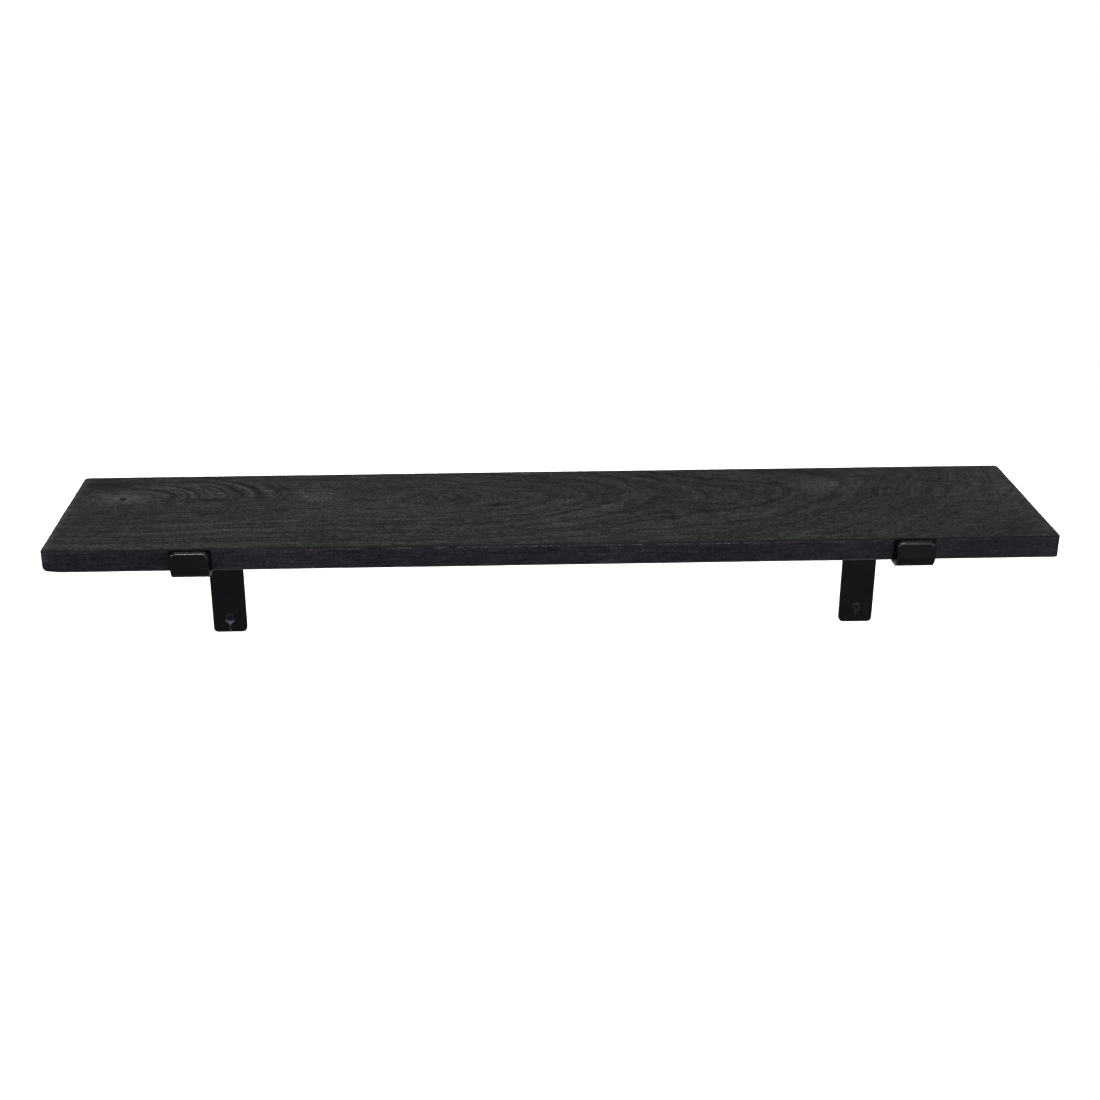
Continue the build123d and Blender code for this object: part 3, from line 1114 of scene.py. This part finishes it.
def painted_lip_and_bend_highlights(shader, x, y, z):
    """Where the painted highlights lie: along the lips' back arrises and the sides of the front bends."""
    low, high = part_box("left_bracket")
    behind_front = shader.mm_past(y, low.y)
    below_top = shader.mm_before(z, high.z)
    at_lip_back = shader.product(*[shader.step(behind_front, *step) for step in LIP_BACK])
    lip_end = shader.product(at_lip_back, shader.step(below_top, *LIP_END))

    half = (high.x - low.x) / 2
    from_middle = shader.away(shader.math("ABSOLUTE", x), -(low.x + high.x) / 2)
    on_side = shader.step(from_middle, half + BEND_SIDE[0], half + BEND_SIDE[1])
    bend_side = shader.product(
        on_side,
        shader.step(below_top, *BEND_BELOW_TOP),
        shader.step(behind_front, *BEND_BEHIND_FRONT),
    )
    return shader.product(shader.math("MAXIMUM", lip_end, bend_side), LIP_AND_BEND_HIGHLIGHT_STRENGTH)


# ---------------- the floor

FLOOR_Z = cad_low.z - 1.6
FLOOR_SIZE = 12.0
FLOOR_LINES = 13
FLOOR_MOTTLE = {"size": 0.4, "detail": 3.0}
FLOOR_TONES = [(0.0, grey(0.86)), (1.0, grey(0.90))]
FLOOR_ROUGHNESS = (0.1, 0.75)
FLOOR_SPECULAR = 0.2


def pale_floor():
    """Matt pale paint with a faint mottle."""
    shader = Shader("pale_floor")
    mottle = shader.noise(shader.place, **FLOOR_MOTTLE)
    colour = shader.ramp(mottle, FLOOR_TONES)
    return shader.finish(colour, shader.line(mottle, *FLOOR_ROUGHNESS), mottle, MM, FLOOR_SPECULAR)


def add_floor():
    """A wide pale floor well below the shelf, out of its reflections."""
    half = FLOOR_SIZE / 2
    lines = np.linspace(-half, half, FLOOR_LINES)
    points = [(x, y, FLOOR_Z) for y in lines for x in lines]
    starts = [j * FLOOR_LINES + i for j in range(FLOOR_LINES - 1) for i in range(FLOOR_LINES - 1)]
    faces = [(first, first + 1, first + FLOOR_LINES + 1, first + FLOOR_LINES) for first in starts]
    floor = mesh_object("floor", points, faces)
    floor.data.materials.append(pale_floor())
    floor.visible_glossy = False
    floor.visible_diffuse = False


# ---------------- lights and camera

WHITE = (1.0, 1.0, 1.0)
# Name, place, target, size, power, colour, and spread in degrees. The floor's lamp hangs below the shelf.
LIGHTS = [
    ("floor_light", (0.0, 0.0, FLOOR_Z + 0.35), (0.0, 0.0, FLOOR_Z), (12.6, 12.6), 1030.0, WHITE, 70.0),
    ("top_soft_box", (-0.08, -0.55, 1.35), (-0.08, -0.1, 0.1), (1.16, 0.45), 16.9, WHITE, 150.0),
    ("front_fill", (1.3, -2.2, 0.3), (0.0, 0.0, 0.0), (1.6, 1.0), 14.0, (0.80, 0.76, 1.0), 180.0),
    ("left_window", (-2.0, -0.3, 1.2), (-0.3, -0.1, 0.0), (0.5, 0.9), 18.0, (0.85, 0.92, 1.0), 180.0),
]
SKY_COLOUR = (0.92, 0.96, 1.0, 1.0)
SKY_STRENGTH = 0.085

CAMERA_PLACE = (-0.0640, -1.3552, 0.5716)
CAMERA_TURN = -1.739  # to the left, in degrees, as are the next two
CAMERA_TILT = 23.108  # down from level
CAMERA_ROLL = -0.225
CAMERA_LENS = 53.62
CAMERA_SENSOR = 36.0
CAMERA_SHIFT = (0.0282, 0.0217)


def add_light(name, place, target, size, power, colour, spread):
    """A soft light, hidden from the camera."""
    light = bpy.data.lights.new(name, "AREA")
    light.shape = "RECTANGLE"
    light.size, light.size_y = size
    light.energy = power
    light.color = colour
    light.spread = radians(spread)
    lamp = bpy.data.objects.new(name, light)
    lamp.location = place
    aim = Vector(target) - Vector(place)
    lamp.rotation_euler = aim.to_track_quat("-Z", "Y").to_euler()
    lamp.visible_camera = False
    bpy.context.scene.collection.objects.link(lamp)


def set_world():
    """A dim, even sky to light the shelf, and plain white as the camera's background."""
    world = bpy.data.worlds.new("studio")
    world.use_nodes = True
    tree = world.node_tree
    sky = tree.nodes["Background"]
    sky.inputs["Color"].default_value = SKY_COLOUR
    sky.inputs["Strength"].default_value = SKY_STRENGTH
    backdrop = tree.nodes.new("ShaderNodeBackground")
    backdrop.inputs["Color"].default_value = (*WHITE, 1.0)
    ray = tree.nodes.new("ShaderNodeLightPath")
    either = tree.nodes.new("ShaderNodeMixShader")
    tree.links.new(ray.outputs["Is Camera Ray"], either.inputs[0])
    tree.links.new(sky.outputs[0], either.inputs[1])
    tree.links.new(backdrop.outputs[0], either.inputs[2])
    tree.links.new(either.outputs[0], tree.nodes["World Output"].inputs["Surface"])
    bpy.context.scene.world = world


def add_camera():
    """The camera stands left of the middle and above the shelf."""
    camera = bpy.data.cameras.new("camera")
    camera.lens = CAMERA_LENS
    camera.sensor_width = CAMERA_SENSOR
    camera.shift_x, camera.shift_y = CAMERA_SHIFT
    holder = bpy.data.objects.new("camera", camera)
    holder.matrix_world = (
        Matrix.Translation(CAMERA_PLACE)
        @ Matrix.Rotation(radians(CAMERA_TURN), 4, "Z")
        @ Matrix.Rotation(radians(90 - CAMERA_TILT), 4, "X")
        @ Matrix.Rotation(radians(CAMERA_ROLL), 4, "Z")
    )
    bpy.context.scene.collection.objects.link(holder)
    bpy.context.scene.camera = holder


# ---------------- assembly


def place_piece(piece, material, node):
    """Gives a piece its material and says what it is."""
    piece.data.materials.clear()
    piece.data.materials.append(material)
    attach(piece, "root")
    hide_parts(node)


def build_shelf():
    """The board, the brackets and the screws."""
    place_piece(board_piece(), stained_wood(), "shelf_board")
    # The bars' coating carries the painted highlights
    bar_coating = coating(*BAR_COATING, worn=True)
    screw_coatings = {kind: coating(*settings) for kind, settings in SCREW_COATINGS.items()}
    numbers = {"wall": 0, "board": 0}
    for side in SIDES:
        place_piece(bracket_piece(side), bar_coating, f"{side}_bracket")
        for kind, which in screw_names():
            piece = screw_piece(side, kind, which, numbers[kind])
            place_piece(piece, screw_coatings[kind], f"{side}_{which}_{kind}_screw")
            numbers[kind] += 1


build_shelf()
add_floor()
for light_settings in LIGHTS:
    add_light(*light_settings)
set_world()
add_camera()
bpy.context.scene.view_settings.view_transform = "Standard"
bpy.context.scene.view_settings.look = "None"
